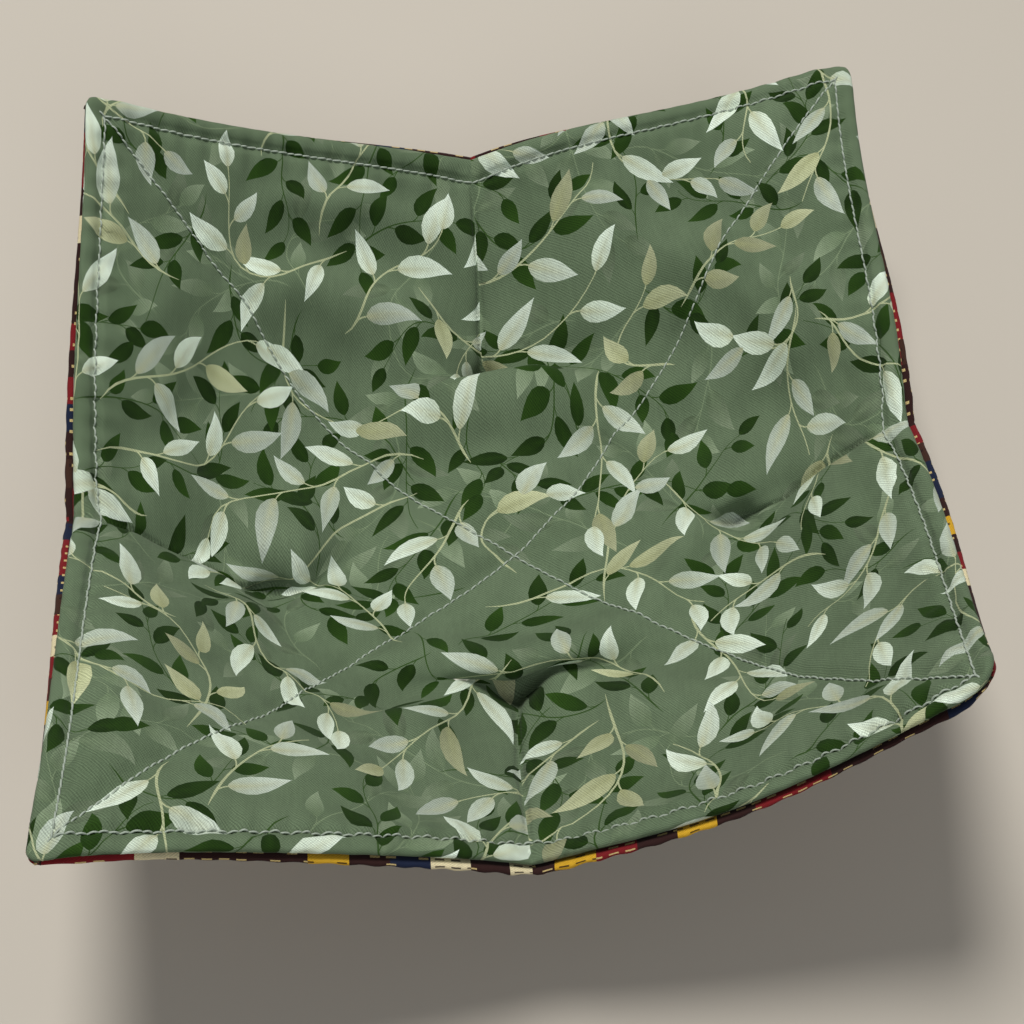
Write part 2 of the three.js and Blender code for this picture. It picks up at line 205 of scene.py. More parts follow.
def to_dart(a, b):
    """The way to the nearest dart from a place at a and b to the side of the two middle lines."""
    return np.minimum(np.hypot(a, np.clip(TIP - b, 0, None)), np.hypot(b, np.clip(TIP - a, 0, None)))


def to_tip(a, b):
    """The way to the nearest dart's tip."""
    return np.minimum(np.hypot(a, TIP - b), np.hypot(b, TIP - a))


def unit(vectors):
    return vectors / np.maximum(np.linalg.norm(vectors, axis=-1, keepdims=True), TINY)


def settled(x, y):
    """Where the lining's places have slid to on the square, and how far puffs and pits lift them."""
    inside = np.clip((TOPSTITCH - np.maximum(np.abs(x), np.abs(y))) / SETTLE_MARGIN, 0, 1)
    inside = eased(inside)

    def near(cx, cy, reach_x, reach_y, scale):
        return inside * bell(x - cx * scale, reach_x * scale) * bell(y - cy * scale, reach_y * scale)

    new_x, new_y, lift = x, y, 0.0
    for cx, cy, reach_x, reach_y, rise in PUFFS:
        lift = lift + PUFF_RISE * rise * near(cx, cy, reach_x, reach_y, HALF)
    for ux, uy in ((0, 1), (1, 0), (0, -1), (-1, 0)):
        lift = lift - PIT_DEPTH * bell(np.hypot(x - ux * TIP, y - uy * TIP), PIT_REACH)
    for cx, cy, reach_x, reach_y, along_x, along_y in SLIDES:
        way = SLIDE_WAY * near(cx, cy, reach_x, reach_y, TIP)
        new_x, new_y = new_x + along_x * way, new_y + along_y * way
    return new_x, new_y, lift


def place(side, x, y, height):
    """A place in a panel, with its height counted from the middle between the panels."""
    if side < 0:
        return form(x, y, PANEL_HALF - height, CREASE_RADIUS)
    x, y, lift = settled(x, y)
    a, b = np.abs(x), np.abs(y)
    share = np.minimum((a + slide(b, a) + b + slide(a, b)) / TIP, 1)
    pillow = LINING_RISE * (1 - share**2) ** 2
    points = form(x, y, PANEL_HALF + height + pillow, LINING_CREASE_RADIUS)
    points[..., 2] += lift
    return points


def grid_of(lines):
    """The places of a grid with the same lines both ways."""
    return np.meshgrid(lines, lines, indexing="ij")


def grid_faces(n):
    """The indices of a grid of n lines each way, and its faces."""
    index = np.arange(n * n).reshape(n, n)
    corners = index[:-1, :-1], index[1:, :-1], index[1:, 1:], index[:-1, 1:]
    return index, np.stack(corners, -1).reshape(-1, 4)


def normals_of(points):
    """Unit normals of a grid of points, on the side of rising height."""
    return unit(np.cross(np.gradient(points, axis=0), np.gradient(points, axis=1)))


# How stitches shape the padding

# Along the cross: a groove with ripples
CROSS_DEPTH, CROSS_WIDTH = 1.5, 3.4
CROSS_RIPPLE, CROSS_RIPPLE_WIDTH, CROSS_WAVE = 0.16, 5.0, 8.3
# Along a dart: a narrow groove, shallower near the edge, in a wider hollow, and a pit at the tip
DART_GROOVE_WIDTH = 0.9
DART_SHALLOW, DART_FADE_START, DART_FADE = 0.3, 4, 8
HOLLOW_DEPTH, HOLLOW_WIDTH = 0.4, 4.0
PIT_WIDTH = 5.5
LINING_GROOVE, LINING_PIT = 1.6, 3.0
OUTER_GROOVE, OUTER_PAD_PIT = 1.0, 1.6
# Along the edge: a groove with ripples, and a rim pressed flat between the corners
EDGE_GROOVE, EDGE_WIDTH = 1.25, 1.4
EDGE_RIPPLE, EDGE_RIPPLE_INSET, EDGE_RIPPLE_WIDTH, EDGE_WAVE = 0.42, 1.5, 4.5, 7.4
EDGE_PRESS, PRESS_START, PRESS_REACH = 1.0, 4.0, 9.0
CORNER_START, CORNER_REACH = 4.0, 16.0
# The slow waves that make a ripple wander, and where along it each line starts
SLOW_WAVES = ((1.3, 23.0), (0.8, 11.0))
PHASES = 6.28
ARM_SHIFT, SIDE_SHIFT, END_SHIFT = 400, 300, 900
LINING_SEED, OUTER_SEED = 11, 29
# Wrinkles: cells across the cloth and height, and the room round each dart's tip
RUMPLES = ((12, 0.5), (26, 0.4))
RUMPLE_GAP = 9.0
RUMPLE_SEED = 23


def ripple(along, seed, wave):
    """A wandering ripple along a seam, from -1 to 1."""
    *slow_phases, phase = np.random.default_rng(seed).uniform(0, PHASES, len(SLOW_WAVES) + 1)
    slow = sum(size * np.sin(along / length + start) for (size, length), start in zip(SLOW_WAVES, slow_phases))
    return np.sin(2 * math.pi * along / wave + phase + slow)


def drawn_down(x, y, seed, groove, pit_depth):
    """How far the stitches draw the face of a panel down."""
    a, b = np.abs(x), np.abs(y)
    edge = HALF - np.maximum(a, b)
    from_cross = (a - b) / math.sqrt(2)
    along_cross = (a + b) / math.sqrt(2) * np.sign(x * y + TINY) + ARM_SHIFT * np.sign(x + TINY)
    at_dart = to_dart(a, b)
    cross = CROSS_DEPTH * bell(from_cross, CROSS_WIDTH)
    cross_ripple = CROSS_RIPPLE * bell(from_cross, CROSS_RIPPLE_WIDTH)
    cross_ripple = cross_ripple * ripple(along_cross, seed, CROSS_WAVE)
    deep = DART_SHALLOW + (1 - DART_SHALLOW) * np.clip((edge - DART_FADE_START) / DART_FADE, 0, 1)
    dart = groove * deep * bell(at_dart, DART_GROOVE_WIDTH) + HOLLOW_DEPTH * bell(at_dart, HOLLOW_WIDTH)
    dart = dart + pit_depth * bell(to_tip(a, b), PIT_WIDTH)
    along_edge = np.where(a > b, y + SIDE_SHIFT * np.sign(x), x + END_SHIFT * np.sign(y))
    topstitch = EDGE_GROOVE * bell(edge - STITCH_INSET, EDGE_WIDTH)
    edge_ripple = EDGE_RIPPLE * bell(edge - STITCH_INSET - EDGE_RIPPLE_INSET, EDGE_RIPPLE_WIDTH)
    edge_ripple = edge_ripple * ripple(along_edge, seed + 1, EDGE_WAVE)
    pressed = 1 - np.clip((edge - PRESS_START) / PRESS_REACH, 0, 1)
    pressed = EDGE_PRESS * eased(pressed) * np.clip((np.abs(a - b) - CORNER_START) / CORNER_REACH, 0, 1)
    return np.maximum(np.maximum(cross, dart), topstitch) + pressed + cross_ripple + edge_ripple


def rumpled(lines):
    """Shallow wrinkles of a washed cloth, inside the topstitching and away from the darts' tips."""
    random = np.random.default_rng(RUMPLE_SEED)
    total = 0.0
    for cells, height in RUMPLES:
        few = np.linspace(lines[0], lines[-1], cells + 1)
        heights = random.normal(0, height, (cells + 1, cells + 1, 1))
        heights[[0, -1], :] = 0
        heights[:, [0, -1]] = 0
        total = total + resampled(heights, few, lines)[..., 0]
    a, b = grid_of(np.abs(lines))
    return total * (1 - bell(to_tip(a, b), RUMPLE_GAP))


# The lining's cloth simulation

CELLS = 90
SIM_ROUNDS, QUICK_ROUNDS = 300, 60
# How much too large the lining is, and how far inside the topstitching that grows
EXCESS, EXCESS_REACH = 0.02, 26
# The bumps that it starts with
BUMP_SEED, BUMP_LINES, BUMP_HEIGHT = 7, 11, 1.6
# How firmly stitches hold it in each round, and how far beside them
HOLD, CROSS_HOLD_WIDTH, DART_HOLD_WIDTH = 0.06, 3.5, 4.0
# Its least way from the outer panel, at the topstitching and further in
LEAST_GAP, GAP_SLOPE, WIDEST_GAP = 4.6, 0.1, 6.4
# Shares of a stretch, a bend and a dip into the outer panel that one round takes back
STRETCHING, BENDING, PUSHING = 0.5, 0.012, 0.5
NEAREST_EVERY = 15
DAMPING, FASTEST = 0.9, 0.5


def pull(a, b, rest, wa, wb):
    """Moves two sets of points towards their rest distance."""
    d = b - a
    length = np.maximum(np.linalg.norm(d, axis=-1), TINY)
    move = (STRETCHING * (length - rest) / length / np.maximum(wa + wb, TINY))[..., None] * d
    a += wa[..., None] * move
    b -= wb[..., None] * move


def links_of(n):
    """Pairs of slices that join neighbours of a grid, without sharing a point within a pair."""
    everything = slice(0, n)
    for start in (0, 1):
        first = slice(start, n - 1, 2)
        second = slice(start + 1, n, 2)
        yield (first, everything), (second, everything)
        yield (everything, first), (everything, second)
        yield (first, slice(0, n - 1)), (second, slice(1, n))
        yield (first, slice(1, n)), (second, slice(0, n - 1))


def spread(field):
    """The Laplacian of a grid, with still borders."""
    result = np.zeros_like(field)
    beside = field[2:, 1:-1] + field[:-2, 1:-1]
    beside = beside + field[1:-1, 2:] + field[1:-1, :-2]
    result[1:-1, 1:-1] = beside - 4 * field[1:-1, 1:-1]
    return result


def cubic_weights(coarse, lines):
    """A matrix that reads an even grid at other places, by cubic interpolation."""
    n = len(coarse)
    t = np.clip((lines - coarse[0]) / (coarse[1] - coarse[0]), 0, n - 1)
    i = np.clip(t.astype(int), 0, n - 2)
    f = t - i
    shares = (
        ((2 - f) * f - 1) * f / 2,
        ((3 * f - 5) * f * f + 2) / 2,
        ((4 - 3 * f) * f + 1) * f / 2,
        (f - 1) * f * f / 2,
    )
    weights = np.zeros((len(lines), n))
    for offset, share in zip((-1, 0, 1, 2), shares):
        np.add.at(weights, (np.arange(len(lines)), np.clip(i + offset, 0, n - 1)), share)
    return weights


def resampled(points, coarse, lines):
    """An even grid of points, read at other lines."""
    weights = cubic_weights(coarse, lines)
    return np.einsum("ai,bj,ijc->abc", weights, weights, points)


# How its ridges lean over: place on the square, reach, and push along x, y and z
LEANS = (
    ((5.0, 50.0), (26.0, 8.0), (0.0, 7.0, 0.5)),
    ((2.0, -46.0), (24.0, 8.0), (0.0, -6.0, 0.5)),
    ((-57.0, 9.0), (13.0, 9.0), (5.0, -7.0, 0.5)),
    ((58.0, 9.0), (13.0, 8.0), (-2.0, -6.0, 0.5)),
)


def lining_start(x, y):
    """Where the simulation starts: the solids' lining, with its ridges leaning over."""
    points = place(LINING, x, y, np.full_like(x, FACE))
    for (cx, cy), (rx, ry), push in LEANS:
        points = points + (bell(x - cx, rx) * bell(y - cy, ry))[..., None] * np.array(push)
    return points


def settle_lining(lines):
    """Lets the lining, a little too large for the dish, settle inside the outer panel."""
    n = len(lines)
    x, y = grid_of(lines)
    start = lining_start(x, y)
    free = np.ones((n, n))
    free[[0, -1], :] = 0
    free[:, [0, -1]] = 0
    edge = HALF - np.maximum(np.abs(x), np.abs(y))
    inside = np.clip((edge - TOPSTITCH_INSET) / EXCESS_REACH, 0, 1)

    few = np.linspace(lines[0], lines[-1], BUMP_LINES)
    bumps = np.random.default_rng(BUMP_SEED).normal(0, BUMP_HEIGHT, (BUMP_LINES, BUMP_LINES, 1))
    points = start + resampled(bumps, few, lines) * inside[..., None] * normals_of(start)

    a, b = np.abs(x), np.abs(y)
    stitched = np.maximum(bell((a - b) / math.sqrt(2), CROSS_HOLD_WIDTH), bell(to_dart(a, b), DART_HOLD_WIDTH))
    held = stitched[..., None] * HOLD

    outer = place(OUTER, x, y, np.full_like(x, FACE + OUTER_PUFF))
    _, quads = grid_faces(n)
    tree = BVHTree.FromPolygons(outer.reshape(-1, 3).tolist(), quads.tolist())
    gap = np.clip(LEAST_GAP + GAP_SLOPE * (edge - TOPSTITCH_INSET), LEAST_GAP, WIDEST_GAP)

    links = []
    for first, second in links_of(n):
        grow = 1 + EXCESS * (inside[first] + inside[second]) / 2
        rest = np.linalg.norm(start[second] - start[first], axis=-1) * grow
        links.append((first, second, rest, free[first], free[second]))

    velocity = np.zeros_like(points)
    for k in range(SIM_ROUNDS):
        before = points.copy()
        points = points + velocity
        for first, second, rest, w1, w2 in links:
            pull(points[first], points[second], rest, w1, w2)
        moved = points - start
        moved = moved - BENDING * free[..., None] * spread(spread(moved))
        moved = moved * (1 - held)
        points = start + moved
        if k % NEAREST_EVERY == 0:
            found = [tree.find_nearest(Vector(q)) for q in points.reshape(-1, 3)]
            nearest = np.array([f[0] for f in found]).reshape(n, n, 3)
            normal = np.array([f[1] for f in found]).reshape(n, n, 3)
            normal *= np.where(normal[..., 2:] < 0, -1, 1)
        depth = ((points - nearest) * normal).sum(-1)
        points += (np.clip(gap - depth, 0, None) * free * PUSHING)[..., None] * normal
        velocity = (points - before) * DAMPING * free[..., None]
        speed = np.linalg.norm(velocity, axis=-1, keepdims=True)
        velocity *= np.minimum(1, FASTEST / np.maximum(speed, TINY))
    return points


# Meshes

def linked(name, data):
    """A new object in the scene."""
    obj = bpy.data.objects.new(name, data)
    bpy.context.scene.collection.objects.link(obj)
    return obj


def new_object(name, points, faces, material, uv=None):
    """A smooth mesh object, with its places on the flat cloth if there are any."""
    mesh = bpy.data.meshes.new(name)
    mesh.from_pydata((np.asarray(points) * MM).tolist(), [], [list(face) for face in faces])
    mesh.polygons.foreach_set("use_smooth", [True] * len(mesh.polygons))
    if uv is not None:
        layer = mesh.uv_layers.new(name="pattern")
        layer.uv.foreach_set("vector", np.asarray(uv, np.float32).ravel())
    mesh.materials.append(material)
    return linked(name, mesh)


# Rows of a cloth's grid near the edge, as their way from it, and lines close beside each dart
BAND = (5.6, 4.6, 3.6, 2.6)
DART_LINES = (0.42, 0.84)
# The roll of the edge, half the gap in its seam, and how far the seam lies outside the middle
EDGE_ROLL = 2.6
SEAM_GAP = 0.12
SEAM_SHIFT = 0.5
# Height of a face over the middle between the panels, and what the outer one has more further in
FACE = 3.4
OUTER_PUFF, OUTER_PUFF_REACH = 0.7, 8


def face_lines():
    """The lines of a cloth's grid: even inside the solids' topstitching, then the rows near the edge."""
    inner = np.linspace(-TOPSTITCH, TOPSTITCH, 2 * CELLS + 1)
    beside = np.array(DART_LINES)
    inner = np.sort(np.concatenate([inner, -beside, beside]))
    band = HALF - np.array(BAND)
    return np.concatenate([-band[::-1], inner, band])


def ring_of(n):
    """Indices of a grid's border in order, with the direction of the edge that each lies on."""
    low, high = 0, n - 1
    ring = [(i, low) for i in range(n)] + [(high, j) for j in range(1, n)]
    ring += [(i, high) for i in range(n - 2, -1, -1)] + [(low, j) for j in range(n - 2, 0, -1)]
    i, j = np.array(ring).T
    ex = np.where(i == low, -1, np.where(i == high, 1, 0))
    ey = np.where(j == low, -1, np.where(j == high, 1, 0))
    return i, j, ex, ey


ROLL_ROWS = np.radians([60, 30, 0, -30, -60, -90])
ALLOWANCE_ROWS = (1.6, 3.2)
CORNER_CLIP, LEAST_ALLOWANCE = 0.7, 0.3


def with_edge(side, face, lines, depth):
    """A cloth's whole grid: its face, the roll of its edge and the allowance turned in along the middle."""
    end = lines[-1]
    rows = EDGE_ROLL * (math.pi / 2 - ROLL_ROWS)
    rolled = rows[-1]
    rows = np.concatenate([rows, rolled + np.array(ALLOWANCE_ROWS)])
    wide = np.concatenate([-(end + rows)[::-1], lines, end + rows])
    x, y = grid_of(wide)
    dip = np.pad(np.clip(depth, 0, None), len(rows), mode="edge")

    def inwards(place_on, other):
        """Where a row past the face lies, with the allowance narrower near a corner."""
        past = np.clip(np.abs(place_on) - end, 0, None)
        angle = math.pi / 2 - np.minimum(past, rolled) / EDGE_ROLL
        deep = np.clip(CORNER_CLIP * (HALF - np.abs(other)), EDGE_ROLL + LEAST_ALLOWANCE, SEAM_ALLOWANCE)
        deep = deep - EDGE_ROLL
        turned_in = deep * np.clip(past - rolled, 0, None) / ALLOWANCE_ROWS[-1]
        inset = EDGE_ROLL * (1 - np.cos(angle)) + turned_in
        return np.where(past > 0, np.sign(place_on) * (HALF - inset), place_on)

    past = np.clip(np.maximum(np.abs(x), np.abs(y)) - end, 0, rolled)
    level = SEAM_GAP - side * SEAM_SHIFT
    height = level + (FACE - dip - level) * (1 + np.cos(past / EDGE_ROLL)) / 2
    points = place(side, inwards(x, y), inwards(y, x), height)
    points[len(rows):-len(rows), len(rows):-len(rows)] = face
    return points, wide


def on_cloth(corners):
    """Takes the corners of faces from the square to the cut cloth, where the darts are open."""
    sign = np.where(corners.mean(1, keepdims=True) < 0, -1.0, 1.0)
    a, b = np.abs(corners[..., 0]), np.abs(corners[..., 1])
    return np.stack([a + slide(b, a), b + slide(a, b)], -1) * sign


def outer_cloth(name, face, lines, depth, material):
    """The outer cotton, with its thickness."""
    points, wide = with_edge(OUTER, face, lines, depth)
    x, y = grid_of(wide)
    _, quads = grid_faces(len(wide))
    quads = quads[:, ::-1]
    uv = on_cloth(np.stack([x, y], -1).reshape(-1, 2)[quads])
    obj = new_object(name, points.reshape(-1, 3), quads, material, uv)
    thick = obj.modifiers.new("thickness", "SOLIDIFY")
    thick.thickness = FABRIC * MM
    thick.offset = -1
    return obj


def lining_cloth(name, face, lines, depth, material):
    """The lining's cotton, cut along the outlines of its print, with the print's colour on each corner."""
    grid, wide = with_edge(LINING, face, lines, depth)
    made = Print()
    random = np.random.default_rng(PRINT_SEED)
    for kind in KINDS:
        sprigs(made, kind, random)
    places, faces, owner = cut_by(made.outlines, wide)
    points, up = Face(grid, wide, LINING).at(places[:, 0], places[:, 1])
    uv = on_cloth(places[faces])
    obj = new_object(name, points, faces, material, uv)
    obj.data.normals_split_custom_set_from_vertices(up.tolist())
    colours = np.where(owner[:, None, None] < 0, 0.0, made.colours(np.maximum(owner, 0), uv))
    layer = obj.data.color_attributes.new("print", "FLOAT_COLOR", "CORNER")
    layer.data.foreach_set("color", colours.astype(np.float32).ravel())
    return obj


# Of a batting: thickness, what stitches leave of it, how much a fold thins it, its way behind the cloth,
# how far it sinks under a groove and beside one, and the rim where it doesn't sink beside one
PAD, LEAST_PAD, FOLD_THINNING = 2.2, 0.35, 8
PAD_CLEARANCE, SINK_UNDER, SINK_BESIDE, PAD_RIM = 0.25, 0.35, 0.6, 10


def pad(name, face, lines, depth, material, side):
    """A batting behind a cloth, thin under the stitches and closed round its edge."""
    up = normals_of(face) * side
    folded = np.linalg.norm(spread(up), axis=-1)
    thick = (np.clip(PAD - depth, LEAST_PAD, PAD) / (1 + FOLD_THINNING * folded))[..., None]
    near = np.pad(depth, 1, mode="edge")
    n = len(lines)
    deepest = np.max([near[i:i + n, j:j + n] for i in range(3) for j in range(3)], 0)
    away = np.abs(lines) < HALF - PAD_RIM
    sunk = SINK_UNDER * np.clip(depth, 0, None)
    sunk = sunk + SINK_BESIDE * (deepest - depth) * (away[:, None] & away[None, :])
    top = face - up * (FABRIC + PAD_CLEARANCE + sunk)[..., None]
    bottom = top - up * thick
    index, quads = grid_faces(n)
    i, j, _, _ = ring_of(n)
    ring = index[i, j]
    wall = np.stack([np.roll(ring, -1), ring, ring + n * n, np.roll(ring, -1) + n * n], -1)
    faces = np.concatenate([quads, quads[:, ::-1] + n * n, wall])
    if side < 0:
        faces = faces[:, ::-1]
    return new_object(name, np.concatenate([top.reshape(-1, 3), bottom.reshape(-1, 3)]), faces, material)


class Face:
    """A finished face of a panel, to be read at any place of its grid."""

    def __init__(self, points, lines, side):
        self.points, self.lines, self.up = points, lines, normals_of(points) * side

    def at(self, x, y):
        """The points and the unit normals at places."""
        n = len(self.lines)
        u = np.interp(x, self.lines, np.arange(n))
        v = np.interp(y, self.lines, np.arange(n))
        i = np.clip(u.astype(int), 0, n - 2)
        j = np.clip(v.astype(int), 0, n - 2)
        s, t = (u - i)[..., None], (v - j)[..., None]

        def mixed(grid):
            low = grid[i, j] * (1 - s) + grid[i + 1, j] * s
            high = grid[i, j + 1] * (1 - s) + grid[i + 1, j + 1] * s
            return low * (1 - t) + high * t

        return mixed(self.points), unit(mixed(self.up))


THREAD_SIDES = 6


def tube(name, path, up, radius, material, closed):
    """A thread along a path, round in section."""
    ahead = np.roll(path, -1, 0) - np.roll(path, 1, 0) if closed else np.gradient(path, axis=0)
    ahead = unit(ahead)
    across = unit(np.cross(ahead, up))
    lift = np.cross(across, ahead)
    turn = (np.arange(THREAD_SIDES) * 2 * math.pi / THREAD_SIDES)[:, None]
    rings = path[:, None] + radius * (np.cos(turn) * across[:, None] + np.sin(turn) * lift[:, None])
    index = np.arange(len(path) * THREAD_SIDES).reshape(-1, THREAD_SIDES)
    here, after = (index, np.roll(index, -1, 0)) if closed else (index[:-1], index[1:])
    quads = np.stack([here, after, np.roll(after, -1, 1), np.roll(here, -1, 1)], -1).reshape(-1, 4)
    faces = quads.tolist()
    if not closed:
        faces += [index[0].tolist(), index[-1][::-1].tolist()]
    return new_object(name, rings.reshape(-1, 3), faces, material)


# Of a stitch: steps along it, unevenness of its length, shape and height of its arch, dip of its ends, slant
STITCH_STEPS = 8
STITCH_JITTER = 0.06
ARCH_POWER, ARCH_HEIGHT, END_DIP = 0.8, 0.66, 0.42
STITCH_SLANT = 0.22


def stitches(name, face, x, y, material, lift, seed, closed=False):
    """A row of lockstitches along a line on a face: each arches over the cloth and dips in at its ends."""
    path, _ = face.at(x, y)
    run = np.concatenate([[0], np.cumsum(np.linalg.norm(np.diff(path, axis=0), axis=-1))])
    count = int(round(run[-1] / STITCH))
    total = count * STITCH_STEPS + (0 if closed else 1)
    at = np.arange(total) / STITCH_STEPS
    jitter = np.random.default_rng(seed).normal(0, STITCH_JITTER, count + 1)
    where = (at + np.interp(at, np.arange(count + 1), jitter)) * run[-1] / count
    where = np.clip(where, 0, run[-1])
    sx, sy = np.interp(where, run, x), np.interp(where, run, y)
    points, up = face.at(sx, sy)
    share = at % 1
    arch = np.abs(np.sin(math.pi * share)) ** ARCH_POWER
    across = unit(np.cross(up, np.gradient(points, axis=0)))
    points = points + up * (arch * ARCH_HEIGHT - END_DIP + lift)[:, None]
    points = points + across * (STITCH_SLANT * (share - 0.5))[:, None]
    return tube(name, points, up, THREAD / 2, material, closed)


def plain_thread(name, face, x, y, below, material):
    """A thread on the hidden side of a panel."""
    points, up = face.at(x, y)
    points = points - up * np.broadcast_to(below, x.shape)[:, None]
    return tube(name, points, up, THREAD / 2, material, False)


# The lining's print

def srgb(*values):
    """A colour as written on a screen, from 0 to 255, in linear light."""
    share = np.array(values) / 255
    linear = np.where(share <= 0.04045, share / 12.92, ((share + 0.055) / 1.055) ** 2.4)
    return (*linear.tolist(), 1.0)


PRINT_SEED = 5
PRINT_HALF, PRINT_MARGIN = 128.0, 12
FULL_TURN = 6.283
FAR = 99.0
# Of a leaf: steps along it, powers and height of its outline, where its bow starts, light of its two halves,
# strength and narrowness of the streak along its midrib
LEAF_STEPS = 9
LEAF_RISE, LEAF_FALL, LEAF_PEAK = 0.75, 1.25, 0.266
BOW_START = 0.35
HALF_LIGHTS = (0.96, 1.03)
STREAK, STREAK_NARROWNESS = 0.8, 4
# Of a sprig, in leaf lengths: its stem, the way between leaves, the stalk of a leaf and of the one at the end
STEM_LENGTHS, LEAF_WAY, STALK, END_STALK = (2.4, 4.6), 0.62, 0.2, 0.06
SPRIG_TRIES, PLACE_TRIES = 4000, 6
STEM_STEPS, STALK_STEPS = 19, 4
BENDS, WAVES = (-2, 2), (-0.7, 0.7)
FIRST_LEAF, LEAF_JITTER = 0.14, (-0.05, 0.05)
LEAF_SIZES, LEAF_LEANS, END_LEANS = (0.72, 1.12), (0.45, 1.0), (-0.25, 0.25)
BOWS, LIGHTS = (-0.9, 0.9), (0.55, 1.1)
LEAST_FREE = 0.6
CREAM_SPRIGS, CREAM_LEAVES = 0.08, 0.1
# Of each kind of sprig: leaves wanted, room between them, leaf length and width, stem width,
# and whether a leaf has two halves
KINDS = {
    "faint": (330, 7.0, 13.0, 5.2, 0.45, False),
    "dark": (500, 6.0, 11.2, 4.5, 0.42, False),
    "pale": (370, 8.8, 15.0, 5.6, 0.62, True),
}
# Tones of a leaf's base and tip, of its streak and of the stem, and how much of the ground they hide
TONES = {
    "faint": (srgb(92, 111, 82), srgb(142, 158, 130), srgb(112, 129, 100), srgb(116, 133, 103), 0.85),
    "dark": (srgb(24, 48, 7), srgb(42, 70, 19), srgb(34, 60, 12), srgb(50, 75, 32), 1.0),
    "pale": (srgb(191, 205, 183), srgb(219, 234, 219), srgb(172, 174, 136), srgb(168, 176, 138), 1.0),
    "cream": (srgb(164, 170, 130), srgb(188, 194, 156), srgb(150, 154, 112), srgb(168, 176, 138), 1.0),
}


def walk(start, turn, length, shares):
    """A line that starts at a place and follows a list of headings, each at its share of the length."""
    ahead = np.stack([np.cos(turn), np.sin(turn)], -1) * length
    steps = (ahead[1:] + ahead[:-1]) / 2 * np.diff(shares)[:, None]
    return start + np.concatenate([[[0.0, 0.0]], np.cumsum(steps, 0)])


def ribbon(path, turn, half_width):
    """The outline of a thin line."""
    across = np.stack([-np.sin(turn), np.cos(turn)], -1) * half_width[:, None]
    return np.concatenate([path - across, (path + across)[::-1]])


class Print:
    """Shapes on the flat cloth, from the lowest to the uppermost, each with its outline, line and tones."""

    def __init__(self):
        self.outlines, self.lines, self.tones = [], [], []

    def put(self, outline, base, heading, length, width, tones, light):
        self.outlines.append(outline)
        self.lines.append((*base, math.cos(heading), math.sin(heading), length, width))
        base_tone, tip_tone, streak, _, cover = tones
        base_tone, tip_tone = np.array(base_tone[:3]) * light, np.array(tip_tone[:3]) * light
        self.tones.append((*base_tone, *tip_tone, *streak[:3], cover))

    def leaf(self, base, heading, length, width, bow, tones, light, two_halves):
        t = (1 - np.cos(np.linspace(0, math.pi, LEAF_STEPS + 1))) / 2
        turn = heading + bow * (t - BOW_START)
        midrib = walk(base, turn, length, t)
        profile = width / 2 * t**LEAF_RISE * (1 - t) ** LEAF_FALL / LEAF_PEAK
        across = np.stack([-np.sin(turn), np.cos(turn)], -1) * profile[:, None]
        right, left = midrib - across, midrib + across
        line = base, heading, length, width
        if two_halves:
            self.put(np.concatenate([right, midrib[-2:0:-1]]), *line, tones, light * HALF_LIGHTS[0])
            self.put(np.concatenate([midrib, left[-2:0:-1]]), *line, tones, light * HALF_LIGHTS[1])
        else:
            self.put(np.concatenate([right, left[-2:0:-1]]), *line, tones, light)

    def line(self, path, turn, half_width, tones):
        stem = (tones[3], tones[3], tones[3], tones[3], tones[4])
        length = np.linalg.norm(path[-1] - path[0])
        self.put(ribbon(path, turn, half_width), path[0], turn[0], length, 1.0, stem, 1.0)

    def colours(self, owner, places):
        """The colour of places on a shape: from its base to its tip, with a streak along the midrib."""
        line = np.array(self.lines)[owner][:, None]
        tone = np.array(self.tones)[owner][:, None]
        off = places - line[..., :2]
        along = np.clip((off * line[..., 2:4]).sum(-1) / line[..., 4], 0, 1)[..., None]
        beside = np.abs(off[..., 1] * line[..., 2] - off[..., 0] * line[..., 3]) / line[..., 5]
        colour = tone[..., :3] * (1 - along) + tone[..., 3:6] * along
        streak = STREAK * (1 - along) * np.clip(1 - STREAK_NARROWNESS * beside, 0, 1)[..., None]
        colour = colour * (1 - streak) + tone[..., 6:9] * streak
        return np.concatenate([colour, np.broadcast_to(tone[..., 9:], along.shape)], -1)


